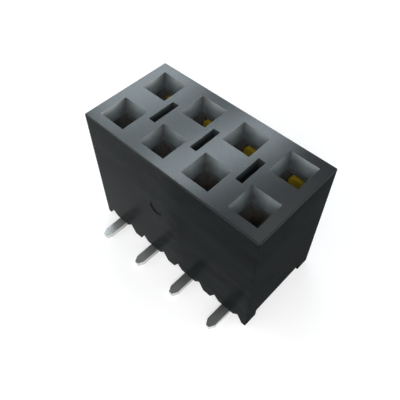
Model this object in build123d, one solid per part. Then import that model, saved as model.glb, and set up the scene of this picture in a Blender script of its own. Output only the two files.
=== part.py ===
from build123d import *
import os

# Surface-mount board socket on a 2.54 mm grid: one moulded housing that holds two rows of stamped contacts.
# X runs along the rows, Y across them and Z up. The origin is in the plane of the circuit board,
# under the middle of the socket. The front row is the one towards -Y.

# Grid of the pins that the socket takes
pitch = 2.54
columns = 4
row_spacing = 2.54
pin_size = 0.64

# Outside of the housing
end_margin = 1.27
side_margin = 1.27
body_height = 7.36
standoff = 0.09
edge_radius = 0.05

# Square entries in the top face: a pyramid lead-in, then a straight throat
mouth_size = 1.49
throat_size = 0.94
lead_in_depth = 0.60
throat_length = 0.30

# Slots that core out the web between the columns
slot_length = 1.524
slot_width = 0.381
slot_depth = 2.5

# Rails under the long walls, with a foot at each column boundary and a boss over each solder tail
rail_width = 0.81
rail_height = 0.49
foot_width = 0.46
notch_height = 0.53
notch_offset = 0.75
boss_width = 0.95
bend_relief = 0.15

# Round moulding gate, sunk in the front wall
gate_diameter = 0.80
gate_depth = 0.04
gate_x = -0.72
gate_z = 4.30

# Contact, stamped from one strip and folded
strip = 0.28
fold_radius = 0.10
pin_play = 0.12
base_width = 1.34
base_bottom = 0.95
base_top = 2.35
root_height = 0.40
leg_shoulder = 0.20
barb_reach = 0.04
barb_height = 0.35
barb_pitch = 0.60
beam_width = 0.66
beam_gap = 0.46
crown_radius = 0.45
root_radius = 1.00
mouth_flare = 0.13
tip_corner = 0.12
outer_crown_z = 5.35
outer_tip_z = 6.41
inner_crown_z = 4.05
inner_tip_z = 4.90

# Solder tail, bent out under the boss
tail_width = 0.51
tail_reach = 3.85
tail_bend = 0.15
tail_taper = 0.30
tail_tip_width = 0.20
tail_corner = 0.07

# Clearances between the contact and its cavity
base_clearance = 0.02
side_clearance = 0.05
beam_clearance = 0.17
shoulder_clearance = 0.10
tail_clearance = 0.02

# Levels and outlines that follow from the sizes above
body_length = (columns - 1) * pitch + 2 * end_margin
body_width = row_spacing + 2 * side_margin
top_z = standoff + body_height
throat_top_z = top_z - lead_in_depth
throat_bottom_z = throat_top_z - throat_length
underside_z = standoff + rail_height
notch_top_z = standoff + notch_height
boss_bottom_z = strip + tail_clearance
row_y = row_spacing / 2
rail_inner_y = body_width / 2 - rail_width
wall_inner_y = pin_size / 2 + pin_play
wall_middle_y = wall_inner_y + strip / 2
wall_outer_y = wall_inner_y + strip
cavity_half_depth = wall_outer_y + base_clearance
channel_width = base_width + 2 * side_clearance
channel_top_z = base_top + root_height + shoulder_clearance
chamber_width = beam_width + 2 * beam_clearance

centred_up = (Align.CENTER, Align.CENTER, Align.MIN)


def column_places():
    """X of each column of pins, from the -X end."""
    first = -(columns - 1) * pitch / 2
    return [first + index * pitch for index in range(columns)]


def block(width, depth, bottom, top):
    """Upright block about the Z axis, between two levels."""
    return Pos(0, 0, bottom) * Box(width, depth, top - bottom, align=centred_up)


def pin_entry():
    """Pyramid lead-in and square throat of one position, as the solid that the mould's core fills."""
    mouth = Plane.XY.offset(top_z) * Rectangle(mouth_size, mouth_size)
    throat = Plane.XY.offset(throat_top_z) * Rectangle(throat_size, throat_size)
    lead_in = loft([throat, mouth])
    return lead_in + block(throat_size, throat_size, throat_bottom_z, throat_top_z)


def contact_cavity():
    """Room for one contact: a narrow chamber round the beams above a wide channel round the base."""
    chamber = block(chamber_width, 2 * cavity_half_depth, channel_top_z, throat_bottom_z)
    channel = block(channel_width, 2 * cavity_half_depth, 0, channel_top_z)
    return chamber + channel


def tail_bend_relief():
    """Bevel inside the boss that clears the bend of the solder tail, on the +Y side of a position."""
    corner = (cavity_half_depth, boss_bottom_z)
    outline = Polyline(
        (corner[0], corner[1] + bend_relief),
        (corner[0] + bend_relief, corner[1]),
        (corner[0] + bend_relief, 0),
        (corner[0], 0),
        close=True,
    )
    face = make_face(Plane.YZ * outline)
    return extrude(face, channel_width / 2, both=True)


def rail_gap():
    """What is missing from a rail between two feet: a notch on each side of the boss over the tail."""
    foot_edge = (pitch - foot_width) / 2
    outline = Polyline(
        (-foot_edge, 0),
        (-foot_edge, standoff),
        (-notch_offset, notch_top_z),
        (-boss_width / 2, boss_bottom_z),
        (boss_width / 2, boss_bottom_z),
        (notch_offset, notch_top_z),
        (foot_edge, standoff),
        (foot_edge, 0),
        close=True,
    )
    face = make_face(Plane.XZ.offset(-side_margin) * outline)
    return extrude(face, rail_width, dir=(0, -1, 0))


def position_core():
    """Everything that is cored out for one pin position, with its solder tail towards +Y."""
    return pin_entry() + contact_cavity() + tail_bend_relief() + rail_gap()


def web_slots():
    """Blind slots in the top face, one between each two columns."""
    places = column_places()
    middles = [(left + right) / 2 for left, right in zip(places[:-1], places[1:])]
    return [Pos(x, 0) * block(slot_width, slot_length, top_z - slot_depth, top_z) for x in middles]


def housing():
    """Moulded housing: a block with rounded outer edges, cored for the contacts, on two toothed rails."""
    body = block(body_length, body_width, standoff, top_z)
    outer_edges = body.edges().filter_by(Axis.Z) + body.faces().sort_by(Axis.Z)[-1].edges()
    body = fillet(outer_edges, edge_radius)
    body -= block(body_length, 2 * rail_inner_y, standoff, underside_z)
    for place in contact_places().values():
        body -= place * position_core()
    for slot in web_slots():
        body -= slot
    gate = Pos(gate_x, -body_width / 2, gate_z) * Rot(90, 0, 0) * Cylinder(gate_diameter / 2, 2 * gate_depth)
    return body - gate


def folded_base():
    """Base of the contact: a front and a back wall joined by one folded side, open towards +X."""
    outside = Rectangle(base_width, 2 * wall_outer_y)
    inside = Pos(strip, 0) * Rectangle(base_width, 2 * wall_inner_y)
    outside = fillet(outside.vertices().group_by(Axis.X)[0], fold_radius + strip)
    inside = fillet(inside.vertices().group_by(Axis.X)[0], fold_radius)
    return extrude(Plane.XY.offset(base_bottom) * (outside - inside), base_top - base_bottom)


def wall_blank(outline, side):
    """Flat piece of strip in the plane of one wall of the base; side is 1 for the outer wall, -1 for the inner."""
    face = make_face(Plane.XZ.offset(-side * wall_middle_y) * outline)
    return extrude(face, strip / 2, both=True)


def beam_root(side):
    """Stretch where a wall narrows to its beam."""
    outline = Polyline(
        (-base_width / 2, base_top),
        (base_width / 2, base_top),
        (beam_width / 2, base_top + root_height),
        (-beam_width / 2, base_top + root_height),
        close=True,
    )
    return wall_blank(outline, side)


def barbs(side):
    """Sharp points on the free edge of a wall, which bite into the side of the channel."""
    edge = base_width / 2
    lowest = (base_bottom + base_top - barb_pitch - barb_height) / 2
    shapes = []
    for bottom in (lowest, lowest + barb_pitch):
        outline = Polyline(
            (edge - strip / 2, bottom),
            (edge + barb_reach, bottom),
            (edge, bottom + barb_height),
            (edge - strip / 2, bottom + barb_height),
            close=True,
        )
        shapes.append(wall_blank(outline, side))
    return shapes


def bent_strip(path, width):
    """Strip of constant width that follows a bent centre line in the YZ plane."""
    section = Plane(origin=path @ 0, x_dir=(1, 0, 0), z_dir=path % 0) * Rectangle(width, strip)
    return sweep(section, path=path)


def beam(side, crown_z, tip_z):
    """Spring beam: it leans in to a crown that wipes the pin, and flares out again at its tip."""
    crown_y = beam_gap / 2 + strip / 2
    path = Plane.YZ * FilletPolyline(
        (side * wall_middle_y, base_top),
        (side * wall_middle_y, base_top + root_height),
        (side * crown_y, crown_z),
        (side * (crown_y + mouth_flare), tip_z),
        radius=[root_radius, crown_radius],
    )
    blade = bent_strip(path, beam_width)
    end_face = blade.faces().sort_by(Axis.Z)[-1]
    corners = end_face.edges().sort_by(Axis.X)
    return fillet([corners[0], corners[-1]], tip_corner)


def solder_tail():
    """Leg and gull-wing tail, bent out from the outer wall to lie flat on its pad."""
    shoulder_z = base_bottom - leg_shoulder
    shoulder = Polyline(
        (-base_width / 2, base_bottom),
        (base_width / 2, base_bottom),
        (tail_width / 2, shoulder_z),
        (-tail_width / 2, shoulder_z),
        close=True,
    )
    tip_y = tail_reach - row_y
    path = Plane.YZ * FilletPolyline(
        (wall_middle_y, base_bottom),
        (wall_middle_y, strip / 2),
        (tip_y, strip / 2),
        radius=tail_bend + strip / 2,
    )
    return wall_blank(shoulder, 1) + trim_tip(bent_strip(path, tail_width), tip_y)


def trim_tip(tail, tip_y):
    """Tapers the end of a tail and rounds the corners that the taper leaves."""
    for side in (-1, 1):
        corner = Polyline(
            (side * tail_width / 2, tip_y - tail_taper),
            (side * tail_width / 2, tip_y),
            (side * tail_tip_width / 2, tip_y),
            close=True,
        )
        tail -= extrude(make_face(corner), strip, dir=(0, 0, 1))
    upright = tail.edges().filter_by(Axis.Z).filter_by_position(Axis.Y, tip_y - 1.5 * tail_taper, tip_y)
    return fillet(upright, tail_corner)


def contact():
    """One contact, round the axis of its pin, with its solder tail towards +Y."""
    outer_beam = beam(1, outer_crown_z, outer_tip_z)
    inner_beam = beam(-1, inner_crown_z, inner_tip_z)
    piece = folded_base() + solder_tail() + outer_beam + inner_beam
    for side in (-1, 1):
        piece += beam_root(side)
        for barb in barbs(side):
            piece += barb
    return piece


def contact_places():
    """Name and place of each contact. The front row is the back row turned half a turn."""
    places = {}
    for index, x in enumerate(column_places(), start=1):
        places[f"contact_front_{index}"] = Pos(x, -row_y) * Rot(0, 0, 180)
        places[f"contact_back_{index}"] = Pos(x, row_y)
    return places


os.makedirs("parts", exist_ok=True)
export_step(housing(), "parts/housing.step")
for name, place in contact_places().items():
    export_step(place * contact(), f"parts/{name}.step")
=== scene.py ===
import math

import bmesh
import bpy
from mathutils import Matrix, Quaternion, Vector

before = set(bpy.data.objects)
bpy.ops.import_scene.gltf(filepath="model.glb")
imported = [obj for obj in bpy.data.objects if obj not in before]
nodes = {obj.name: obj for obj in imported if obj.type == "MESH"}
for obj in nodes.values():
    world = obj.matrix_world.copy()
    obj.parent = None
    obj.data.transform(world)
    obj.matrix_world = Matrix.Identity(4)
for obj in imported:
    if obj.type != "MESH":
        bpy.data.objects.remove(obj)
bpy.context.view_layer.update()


# Housing
# One block moulded in black glass-filled polymer, cored for eight contacts. The mould leaves a glossy skin on
# the mating face and dull walls with faint flow marks. The mating face is painted lighter than the walls, and
# the pin entries and slots paler still, as painted light, with painted shade in their creases and throats,
# and a painted warm reflection of the gold deep in them. Places and levels are in millimetres, as in the CAD
# model.

MM = 0.001

# Colours, and how far flow marks and scrapes are drawn out along X, Y and Z
WALL_BLACK = (0.0046, 0.0058, 0.0062)
WALL_CLOUDED = (0.0090, 0.0110, 0.0117)
# Painted light: the mating face is painted a lighter grey than the walls.
FACE_PAINTED_LIGHT_GREY = (0.0118, 0.0145, 0.0154)
# Painted light: the walls of the pin entries and slots are painted pale.
CORED_PAINTED_LIGHT_GREY = (0.113, 0.131, 0.135)
# Painted reflection: warm brown deep in the entries stands for the gold contacts' reflection.
GOLD_REFLECTION_BROWN = (0.30, 0.265, 0.235)
FLOW_STRETCH = (0.35, 0.9, 1.4)
SCRAPE_STRETCH = (5, 5, 1)
SCRAPE_SHADE = 0.85

# Grid and levels of the entries, and how light the shaded parts of their walls stay, where 1 is unshaded
PITCH = 2.54
TOP_LEVEL = 7.45
LEAD_IN_LEVEL = 6.85
CORED_REACH = {"X": 4.90, "Y": 2.35}
CORED_FLOOR = 4.4
SLOT_SIDE = 0.9
SLOT_SHADE = 0.27
CREASE_SHADE = 0.27
CREASE_WIDTH = 0.8
THROAT_SHADE = 0.85
BELOW_RIM_SHADE = 0.83
GOLD_REFLECTION_LEVEL = 5.7

# How squarely a surface faces an axis, from where a finish starts or ends to where it is full or gone
FLAT_UP = (0.8, 1.0)
STEEP = (0.6, 0.9)
LEANING_UP = (0.1, 0.38)
TO_THE_FRONT = (-0.95, -0.8)
TO_THE_END = (0.92, 1.0)
ROUNDED = (0.78, 0.9)

# Finish of the skin and of the body under it
SKIN_IOR = 1.5
SKIN_ROUGHNESS = 0.2
BODY_IOR = 1.05
BODY_ROUGHNESS = (0.19, 0.22)
END_DULLNESS = 0.42
RUBBED_SHINE = 0.15
GATE_SHINE = 0.07
GATE_SIDE = (-0.3, 0.9)
GRAIN_SCALE = 30
MOULDED_GRAIN = 0.00005


def new_material(name):
    """A node material, with its node tree and its shader."""
    material = bpy.data.materials.new(name)
    material.use_nodes = True
    shader = material.node_tree.nodes["Principled BSDF"]
    return material, material.node_tree, shader


def per_millimetre(tree, scale=(1, 1, 1)):
    """Object coordinates counted in millimetres, stretched by scale."""
    coordinates = tree.nodes.new("ShaderNodeTexCoord")
    mapping = tree.nodes.new("ShaderNodeMapping")
    mapping.inputs["Scale"].default_value = [each / MM for each in scale]
    tree.links.new(coordinates.outputs["Object"], mapping.inputs["Vector"])
    return mapping.outputs["Vector"]


def split(tree, vector):
    """The X, Y and Z of a vector."""
    parts = tree.nodes.new("ShaderNodeSeparateXYZ")
    tree.links.new(vector, parts.inputs["Vector"])
    return parts.outputs


def noise(tree, vector, scale, detail):
    """Soft cloudy noise, with scale lumps to the millimetre."""
    texture = tree.nodes.new("ShaderNodeTexNoise")
    texture.inputs["Scale"].default_value = scale
    texture.inputs["Detail"].default_value = detail
    tree.links.new(vector, texture.inputs["Vector"])
    return texture.outputs["Fac"]


def spread(tree, value, low, high, source_low=0.3, source_high=0.7):
    """A value that runs from low to high over its source range, by default the range of noise."""
    ranged = tree.nodes.new("ShaderNodeMapRange")
    ranged.inputs["From Min"].default_value = source_low
    ranged.inputs["From Max"].default_value = source_high
    ranged.inputs["To Min"].default_value = low
    ranged.inputs["To Max"].default_value = high
    tree.links.new(value, ranged.inputs["Value"])
    return ranged.outputs["Result"]


def arithmetic(tree, operation, *values):
    """One sum on values that come from nodes."""
    node = tree.nodes.new("ShaderNodeMath")
    node.operation = operation
    for socket, value in zip(node.inputs, values):
        tree.links.new(value, socket)
    return node.outputs["Value"]


def product(tree, first, *others):
    """Several values multiplied together."""
    result = first
    for other in others:
        result = arithmetic(tree, "MULTIPLY", result, other)
    return result


def blend_colours(tree, factor, first, second):
    """A colour between two, by a factor."""
    mix = tree.nodes.new("ShaderNodeMix")
    mix.data_type = "RGBA"
    for socket, colour in ((mix.inputs[6], first), (mix.inputs[7], second)):
        if isinstance(colour, tuple):
            socket.default_value = (*colour, 1)
        else:
            tree.links.new(colour, socket)
    tree.links.new(factor, mix.inputs[0])
    return mix.outputs[2]


def bump(tree, height, shader, depth):
    """Relief of that depth in millimetres."""
    relief = tree.nodes.new("ShaderNodeBump")
    relief.inputs["Strength"].default_value = 1
    relief.inputs["Distance"].default_value = depth * MM
    tree.links.new(height, relief.inputs["Height"])
    tree.links.new(relief.outputs["Normal"], shader.inputs["Normal"])


def facing(tree, axis):
    """How far a surface faces along an axis of the object, from -1 to 1."""
    coordinates = tree.nodes.new("ShaderNodeTexCoord")
    return split(tree, coordinates.outputs["Normal"])[axis]


def facing_either_way(tree, axis):
    """How far a surface faces along an axis or against it, from 0 to 1."""
    return arithmetic(tree, "ABSOLUTE", facing(tree, axis))


def from_grid(tree, place):
    """How far a place is from the middle of its pin position along one axis."""
    wrapped = tree.nodes.new("ShaderNodeMath")
    wrapped.operation = "WRAP"
    tree.links.new(place, wrapped.inputs[0])
    wrapped.inputs[1].default_value = PITCH
    wrapped.inputs[2].default_value = 0
    return spread(tree, wrapped.outputs["Value"], -PITCH / 2, PITCH / 2, 0, PITCH)


def inside_walls(tree, place):
    """1 on the walls of the pin entries and slots, down to the cored floor, and 0 elsewhere."""
    inside = spread(tree, facing(tree, "Z"), 1, 0, *STEEP)
    for axis, reach in CORED_REACH.items():
        away = arithmetic(tree, "ABSOLUTE", place[axis])
        inside = product(tree, inside, spread(tree, away, 1, 0, reach - 0.05, reach + 0.05))
    return product(tree, inside, spread(tree, place["Z"], 0, 1, CORED_FLOOR - 0.5, CORED_FLOOR))


def corner_shade(tree, beside, across, height, in_slot):
    """Painted shade: darker creases in two opposite corners of each lead-in, down to its throat. The slots
    have none.
    """
    from_corner = arithmetic(tree, "ABSOLUTE", arithmetic(tree, "ADD", beside, across))
    crease = spread(tree, from_corner, CREASE_SHADE, 1, 0.05, CREASE_WIDTH)
    throat = spread(tree, height, THROAT_SHADE, 0, LEAD_IN_LEVEL - 0.05, LEAD_IN_LEVEL + 0.3)
    return arithmetic(tree, "MAXIMUM", arithmetic(tree, "MAXIMUM", crease, throat), in_slot)


def cored_light_shade_and_scrapes(tree):
    """How much of the pale painted light the cored walls take: scrape marks, and painted shade below the rim,
    in corners and slots.
    """
    place = split(tree, per_millimetre(tree))
    beside = from_grid(tree, place["X"])
    across = from_grid(tree, place["Y"])
    in_slot = spread(tree, arithmetic(tree, "ABSOLUTE", beside), 0, 1, SLOT_SIDE, SLOT_SIDE + 0.1)
    # Painted shade in the creases and throats, below the rim and in the slots. The scrape noise is wear.
    shade = corner_shade(tree, beside, across, place["Z"], in_slot)
    rim = spread(tree, place["Z"], BELOW_RIM_SHADE, 1, TOP_LEVEL - 0.3, TOP_LEVEL - 0.1)
    slots = spread(tree, in_slot, 1, SLOT_SHADE, 0, 1)
    scrapes = spread(tree, noise(tree, per_millimetre(tree, SCRAPE_STRETCH), 1, detail=4), SCRAPE_SHADE, 1)
    return product(tree, inside_walls(tree, place), shade, rim, slots, scrapes)


def painted_gold_reflection(tree):
    """Painted warm reflection of the gold contacts on the walls, from the foot of the lead-ins downwards."""
    height = split(tree, per_millimetre(tree))["Z"]
    return spread(tree, height, 1, 0, GOLD_REFLECTION_LEVEL, LEAD_IN_LEVEL)


def housing_colour(tree, clouds):
    """Black walls with flow clouds, a mating face painted lighter as painted light, and cored walls painted
    pale as painted light.
    """
    walls = blend_colours(tree, spread(tree, clouds, 0, 1), WALL_BLACK, WALL_CLOUDED)
    # Painted light: what faces up is painted lighter than the walls.
    painted_light_face = spread(tree, facing(tree, "Z"), 0, 1, *FLAT_UP)
    outside = blend_colours(tree, painted_light_face, walls, FACE_PAINTED_LIGHT_GREY)
    # Painted reflection of the gold contacts, warm brown from the foot of the lead-ins down.
    cored = blend_colours(tree, painted_gold_reflection(tree), CORED_PAINTED_LIGHT_GREY, GOLD_REFLECTION_BROWN)
    # Painted light and painted shade: the pale cored colour, shaded in creases, throats, slots and below the
    # rim.
    return blend_colours(tree, cored_light_shade_and_scrapes(tree), outside, cored)


def rubbed_edges(tree):
    """1 on the rounded edges, where the surface leans between two axes, and 0 on flat walls."""
    squareness = facing_either_way(tree, "X")
    for axis in ("Y", "Z"):
        squareness = arithmetic(tree, "MAXIMUM", squareness, facing_either_way(tree, axis))
    return spread(tree, squareness, 1, 0, *ROUNDED)


def glossy_skin(tree):
    """Full gloss on what leans up, a trace on the gate's half of the front wall, less on rubbed edges."""
    upward = spread(tree, facing(tree, "Z"), 0, 1, *LEANING_UP)
    front = spread(tree, facing(tree, "Y"), 1, 0, *TO_THE_FRONT)
    beside = split(tree, per_millimetre(tree))["X"]
    gate_side = product(tree, spread(tree, beside, GATE_SHINE, 0, *GATE_SIDE), front)
    rubbed = spread(tree, rubbed_edges(tree), 1, RUBBED_SHINE, 0, 1)
    return product(tree, arithmetic(tree, "MAXIMUM", upward, gate_side), rubbed)


def housing_plastic():
    """Black moulded polymer: an almost dead black body under a glossy skin, with duller end walls."""
    material, tree, shader = new_material("housing_plastic")
    clouds = noise(tree, per_millimetre(tree, FLOW_STRETCH), 0.9, detail=2)
    tree.links.new(housing_colour(tree, clouds), shader.inputs["Base Color"])
    dull_ends = spread(tree, facing_either_way(tree, "X"), 0, END_DULLNESS, *TO_THE_END)
    polish = spread(tree, clouds, *BODY_ROUGHNESS)
    tree.links.new(arithmetic(tree, "ADD", dull_ends, polish), shader.inputs["Roughness"])
    shader.inputs["IOR"].default_value = BODY_IOR
    tree.links.new(glossy_skin(tree), shader.inputs["Coat Weight"])
    shader.inputs["Coat Roughness"].default_value = SKIN_ROUGHNESS
    shader.inputs["Coat IOR"].default_value = SKIN_IOR
    bump(tree, noise(tree, per_millimetre(tree), GRAIN_SCALE, detail=2), shader, MOULDED_GRAIN)
    return material


def dress(node, material):
    """Puts one material on every slot of a CAD node."""
    for index in range(len(node.data.materials)):
        node.data.materials[index] = material


dress(nodes["housing"], housing_plastic())


# Contacts
# Eight alike, stamped from copper alloy strip and folded. The beams are plated with gold over nickel. The leg
# and the solder tail have matte tin, painted darker near the housing as painted shade.

GOLD = (0.86, 0.64, 0.035)
TIN = (0.62, 0.63, 0.62)
# Painted shade: the tin is darker near the housing.
TIN_SHADED = (0.31, 0.32, 0.31)
TIN_SHADE_REACH = (2.3, 3.3)
GOLD_ENDS = 1.3
BORDER_WIDTH = 0.12
TIN_SATIN = (0.36, 0.46)
GOLD_EXTRA_ROUGHNESS = 0.14
TIN_METALLIC = 1.0
GOLD_METALLIC = 0.5
ROLLED_STRETCH = (12, 0.8, 0.8)
PLATED_GRAIN = 0.0015


def contact_plating():
    """Gold on the beams and tin on the tail, painted darker near the housing as painted shade, with a soft
    border, over the lines of the rolled strip.
    """
    material, tree, shader = new_material("contact_plating")
    place = split(tree, per_millimetre(tree))
    gilded = spread(tree, place["Z"], 0, 1, GOLD_ENDS - BORDER_WIDTH / 2, GOLD_ENDS + BORDER_WIDTH / 2)
    out_of_painted_shade = spread(tree, arithmetic(tree, "ABSOLUTE", place["Y"]), 0, 1, *TIN_SHADE_REACH)
    # Painted shade: darker tin near the housing, full tin colour out towards the tips.
    tin = blend_colours(tree, out_of_painted_shade, TIN_SHADED, TIN)
    tree.links.new(blend_colours(tree, gilded, tin, GOLD), shader.inputs["Base Color"])
    tree.links.new(spread(tree, gilded, TIN_METALLIC, GOLD_METALLIC, 0, 1), shader.inputs["Metallic"])
    rolled = noise(tree, per_millimetre(tree, ROLLED_STRETCH), 1, detail=3)
    satin = spread(tree, rolled, *TIN_SATIN)
    on_gold = spread(tree, gilded, 0, GOLD_EXTRA_ROUGHNESS, 0, 1)
    tree.links.new(arithmetic(tree, "ADD", satin, on_gold), shader.inputs["Roughness"])
    bump(tree, noise(tree, per_millimetre(tree), GRAIN_SCALE, detail=3), shader, PLATED_GRAIN)
    return material


plating = contact_plating()
for name, node in nodes.items():
    if name.startswith("contact"):
        dress(node, plating)


# Floor and backdrop
# One round sheet of pale paper under the socket. It takes the socket's shadow and curves up far behind it on
# all sides. It isn't part of the object.

PAPER_COLOUR = (0.65, 0.65, 0.65)
PAPER_GLOW = 0.43
FLOOR_RADIUS = 0.54
SWEEP_RADIUS = 0.06
BACKDROP_HEIGHT = 0.3
SHEET_STEPS = 72


def studio_paper():
    """Matte pale paper. What the camera and glossy surfaces see of it is lifted to white."""
    material, tree, shader = new_material("studio_paper")
    shader.inputs["Base Color"].default_value = (*PAPER_COLOUR, 1)
    shader.inputs["Roughness"].default_value = 0.9
    shader.inputs["Specular IOR Level"].default_value = 0
    path = tree.nodes.new("ShaderNodeLightPath")
    seen = path.outputs["Is Camera Ray"]
    for kind in ("Is Glossy Ray", "Is Transmission Ray"):
        seen = arithmetic(tree, "MAXIMUM", seen, path.outputs[kind])
    shader.inputs["Emission Color"].default_value = (1, 1, 1, 1)
    tree.links.new(spread(tree, seen, 0, PAPER_GLOW, 0, 1), shader.inputs["Emission Strength"])
    return material


def sheet_outline():
    """Half section of the sheet, in metres outwards and up: floor, quarter round and backdrop."""
    outline = [(0, 0)]
    for angle in range(0, 91, 10):
        turn = math.radians(angle)
        outline.append((FLOOR_RADIUS + SWEEP_RADIUS * math.sin(turn), SWEEP_RADIUS * (1 - math.cos(turn))))
    outline.append((FLOOR_RADIUS + SWEEP_RADIUS, BACKDROP_HEIGHT))
    return outline


def paper_sheet():
    """The sheet, spun from its outline."""
    shape = bmesh.new()
    points = [shape.verts.new((outward, 0, up)) for outward, up in sheet_outline()]
    edges = [shape.edges.new(pair) for pair in zip(points[:-1], points[1:])]
    bmesh.ops.spin(
        shape,
        geom=points + edges,
        axis=(0, 0, 1),
        cent=(0, 0, 0),
        angle=math.tau,
        steps=SHEET_STEPS,
        use_merge=True,
    )
    bmesh.ops.remove_doubles(shape, verts=shape.verts, dist=0.00001)
    for face in shape.faces:
        face.smooth = True
    mesh = bpy.data.meshes.new("studio_sheet")
    shape.to_mesh(mesh)
    shape.free()
    sheet = bpy.data.objects.new("studio_sheet", mesh)
    bpy.context.scene.collection.objects.link(sheet)
    sheet.data.materials.append(studio_paper())
    return sheet


paper_sheet()


# Light
# A small product studio. Two bright, cool strips high behind the socket draw the soft bands on its top face.
# A ring of larger, dimmer boxes at three heights opens up its walls and pin entries.

LIGHT_TARGET = Vector((0, 0, TOP_LEVEL)) * MM
LIGHT_DISTANCE = 0.5
WHITE = (1, 1, 1)
COOL = (0.81, 0.93, 1.0)
ROOM_COLOUR = (0.95, 0.98, 1.0)
ROOM_STRENGTH = 0.05


def soft_box(name, azimuth, elevation, long, high, radiance, tilt=0, colour=WHITE):
    """A flat lamp that faces the socket. All angles are in degrees as seen from there, from +X towards +Y."""
    turn = math.radians(azimuth)
    rise = math.radians(elevation)
    way = Vector((math.cos(turn) * math.cos(rise), math.sin(turn) * math.cos(rise), math.sin(rise)))
    lamp = bpy.data.lights.new(name, "AREA")
    lamp.shape = "RECTANGLE"
    lamp.size = 2 * LIGHT_DISTANCE * math.tan(math.radians(long) / 2)
    lamp.size_y = 2 * LIGHT_DISTANCE * math.tan(math.radians(high) / 2)
    lamp.energy = radiance * math.pi * lamp.size * lamp.size_y
    lamp.color = colour
    holder = bpy.data.objects.new(name, lamp)
    bpy.context.scene.collection.objects.link(holder)
    holder.location = LIGHT_TARGET + way * LIGHT_DISTANCE
    aim = way.to_track_quat("Z", "Y") @ Quaternion((0, 0, 1), math.radians(tilt))
    holder.rotation_euler = aim.to_euler()
    holder.visible_camera = False


soft_box("upper_strip", 135.5, 48.8, long=29.3, high=3.6, radiance=12.6, tilt=23.3, colour=COOL)
soft_box("lower_strip", 141.6, 38.2, long=15.5, high=6.2, radiance=8.0, tilt=18.8, colour=COOL)
soft_box("back_fill", 107.3, 57.1, long=19.1, high=12.5, radiance=1.2, tilt=43.2)

soft_box("low_right", 38, 6, long=50, high=10, radiance=4.4)
soft_box("low_left", 215, 6, long=34, high=10, radiance=3.6)
soft_box("low_front", 249, 6, long=34, high=10, radiance=4.0)

soft_box("right", 20, 20, long=36, high=18, radiance=4.5)
soft_box("back_right", 54, 20, long=32, high=18, radiance=1.8)
soft_box("left", 214, 24, long=34, high=30, radiance=1.55)
soft_box("front", 247, 24, long=34, high=30, radiance=1.97)
soft_box("near_front", 280, 20, long=40, high=18, radiance=4.2)
soft_box("near_right", 320, 20, long=40, high=18, radiance=3.8)

soft_box("high_right", 310, 45, long=32, high=28, radiance=3.9)
soft_box("high_left", 190, 45, long=32, high=28, radiance=1.4)

world = bpy.data.worlds.new("studio")
bpy.context.scene.world = world
world.use_nodes = True
room = world.node_tree.nodes["Background"]
room.inputs["Color"].default_value = (*ROOM_COLOUR, 1)
room.inputs["Strength"].default_value = ROOM_STRENGTH


# Camera
# It looks down on the front right corner of the socket, from about as near as a macro lens would.

CAMERA_PLACE = Vector((9.794, -10.705, 22.27)) * MM
CAMERA_AIM = Vector((2.074, -2.520, 7.45)) * MM
LENS = 43.05
SENSOR_WIDTH = 36


def camera():
    """Still camera, level, with everything in focus."""
    data = bpy.data.cameras.new("camera")
    data.lens = LENS
    data.sensor_width = SENSOR_WIDTH
    data.clip_start = 0.0005
    data.clip_end = 5
    holder = bpy.data.objects.new("camera", data)
    bpy.context.scene.collection.objects.link(holder)
    holder.location = CAMERA_PLACE
    holder.rotation_euler = (CAMERA_PLACE - CAMERA_AIM).to_track_quat("Z", "Y").to_euler()
    bpy.context.scene.camera = holder


camera()
bpy.context.scene.view_settings.view_transform = "Standard"
